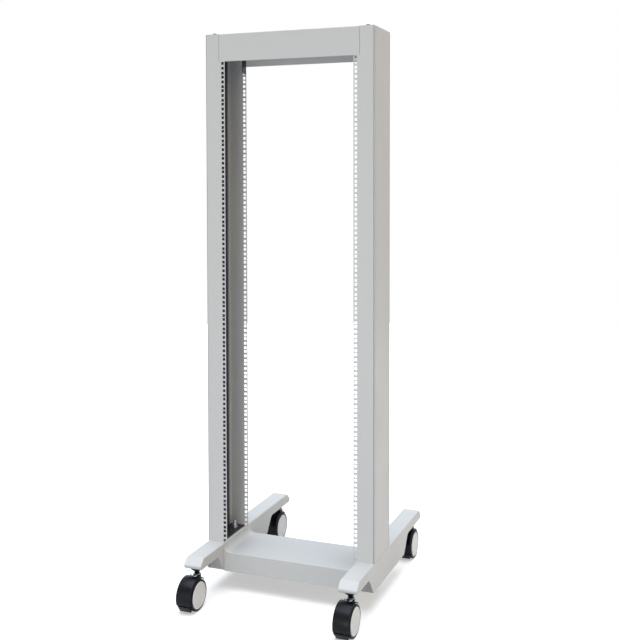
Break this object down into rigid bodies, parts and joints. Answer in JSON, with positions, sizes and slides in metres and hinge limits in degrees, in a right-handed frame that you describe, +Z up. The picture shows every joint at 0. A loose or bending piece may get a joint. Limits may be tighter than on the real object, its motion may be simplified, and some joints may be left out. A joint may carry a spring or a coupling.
{
  "type": "two post open frame server rack on casters",
  "caption": "Pale grey open frame rack with two folded posts, square hole rails, a top bar, two long feet, a base tray and swivel casters with brakes.",
  "frame": {"origin": "on the floor, in the middle of the overall box", "axes": "+Z up, +X to the rack's right seen from the front, -Y to the front where devices are fastened"},
  "size_m": [0.588, 0.761, 1.8537],
  "materials": {
    "powder_coat": "satin",
    "black_oxide": "satin",
    "zinc_plate": "satin",
    "caster_plastic": "satin",
    "tread": "matte",
    "disc_plastic": "satin"
  },
  "bodies": {
    "root": {"left_front_rail": "powder_coat", "left_rear_rail": "powder_coat", "left_side_panel": "powder_coat", "left_post_cap": "powder_coat", "left_cap_screws": "black_oxide", "left_top_bracket": "powder_coat", "left_foot": "powder_coat", "left_foot_bulkheads": "powder_coat", "left_base_plate": "powder_coat", "left_base_bolts": "zinc_plate", "right_front_rail": "powder_coat", "right_rear_rail": "powder_coat", "right_side_panel": "powder_coat", "right_post_cap": "powder_coat", "right_cap_screws": "black_oxide", "right_top_bracket": "powder_coat", "right_foot": "powder_coat", "right_foot_bulkheads": "powder_coat", "right_base_plate": "powder_coat", "right_base_bolts": "zinc_plate", "top_bar": "powder_coat", "base_tray": "powder_coat", "front_left_stem": "caster_plastic", "front_right_stem": "caster_plastic", "rear_left_stem": "caster_plastic", "rear_right_stem": "caster_plastic"},
    "front_left_swivel": {"front_left_hood": "caster_plastic"},
    "front_left_wheel_pair": {"front_left_wheels": "tread", "front_left_discs": "disc_plastic"},
    "front_left_brake": {"front_left_pedal": "caster_plastic"},
    "front_right_swivel": {"front_right_hood": "caster_plastic"},
    "front_right_wheel_pair": {"front_right_wheels": "tread", "front_right_discs": "disc_plastic"},
    "front_right_brake": {"front_right_pedal": "caster_plastic"},
    "rear_left_swivel": {"rear_left_hood": "caster_plastic"},
    "rear_left_wheel_pair": {"rear_left_wheels": "tread", "rear_left_discs": "disc_plastic"},
    "rear_left_brake": {"rear_left_pedal": "caster_plastic"},
    "rear_right_swivel": {"rear_right_hood": "caster_plastic"},
    "rear_right_wheel_pair": {"rear_right_wheels": "tread", "rear_right_discs": "disc_plastic"},
    "rear_right_brake": {"rear_right_pedal": "caster_plastic"}
  },
  "joints": [
    {"name": "front_left_swivel_turn", "type": "hinge", "parent": "root", "child": "front_left_swivel", "pos_m": [-0.264, -0.2895, 0.09], "axis": [0, 0, 1], "continuous": true},
    {"name": "front_left_wheel_spin", "type": "hinge", "parent": "front_left_swivel", "child": "front_left_wheel_pair", "pos_m": [-0.264, -0.3255, 0.049], "axis": [1, 0, 0], "continuous": true},
    {"name": "front_left_brake_press", "type": "hinge", "parent": "front_left_swivel", "child": "front_left_brake", "pos_m": [-0.264, -0.3255, 0.049], "axis": [1, 0, 0], "range_deg": [0, 10]},
    {"name": "front_right_swivel_turn", "type": "hinge", "parent": "root", "child": "front_right_swivel", "pos_m": [0.264, -0.2895, 0.09], "axis": [0, 0, 1], "continuous": true},
    {"name": "front_right_wheel_spin", "type": "hinge", "parent": "front_right_swivel", "child": "front_right_wheel_pair", "pos_m": [0.264, -0.3255, 0.049], "axis": [1, 0, 0], "continuous": true},
    {"name": "front_right_brake_press", "type": "hinge", "parent": "front_right_swivel", "child": "front_right_brake", "pos_m": [0.264, -0.3255, 0.049], "axis": [1, 0, 0], "range_deg": [0, 10]},
    {"name": "rear_left_swivel_turn", "type": "hinge", "parent": "root", "child": "rear_left_swivel", "pos_m": [-0.264, 0.3505, 0.09], "axis": [0, 0, 1], "continuous": true},
    {"name": "rear_left_wheel_spin", "type": "hinge", "parent": "rear_left_swivel", "child": "rear_left_wheel_pair", "pos_m": [-0.264, 0.3145, 0.049], "axis": [1, 0, 0], "continuous": true},
    {"name": "rear_left_brake_press", "type": "hinge", "parent": "rear_left_swivel", "child": "rear_left_brake", "pos_m": [-0.264, 0.3145, 0.049], "axis": [1, 0, 0], "range_deg": [0, 10]},
    {"name": "rear_right_swivel_turn", "type": "hinge", "parent": "root", "child": "rear_right_swivel", "pos_m": [0.264, 0.3505, 0.09], "axis": [0, 0, 1], "continuous": true},
    {"name": "rear_right_wheel_spin", "type": "hinge", "parent": "rear_right_swivel", "child": "rear_right_wheel_pair", "pos_m": [0.264, 0.3145, 0.049], "axis": [1, 0, 0], "continuous": true},
    {"name": "rear_right_brake_press", "type": "hinge", "parent": "rear_right_swivel", "child": "rear_right_brake", "pos_m": [0.264, 0.3145, 0.049], "axis": [1, 0, 0], "range_deg": [0, 10]}
  ]
}
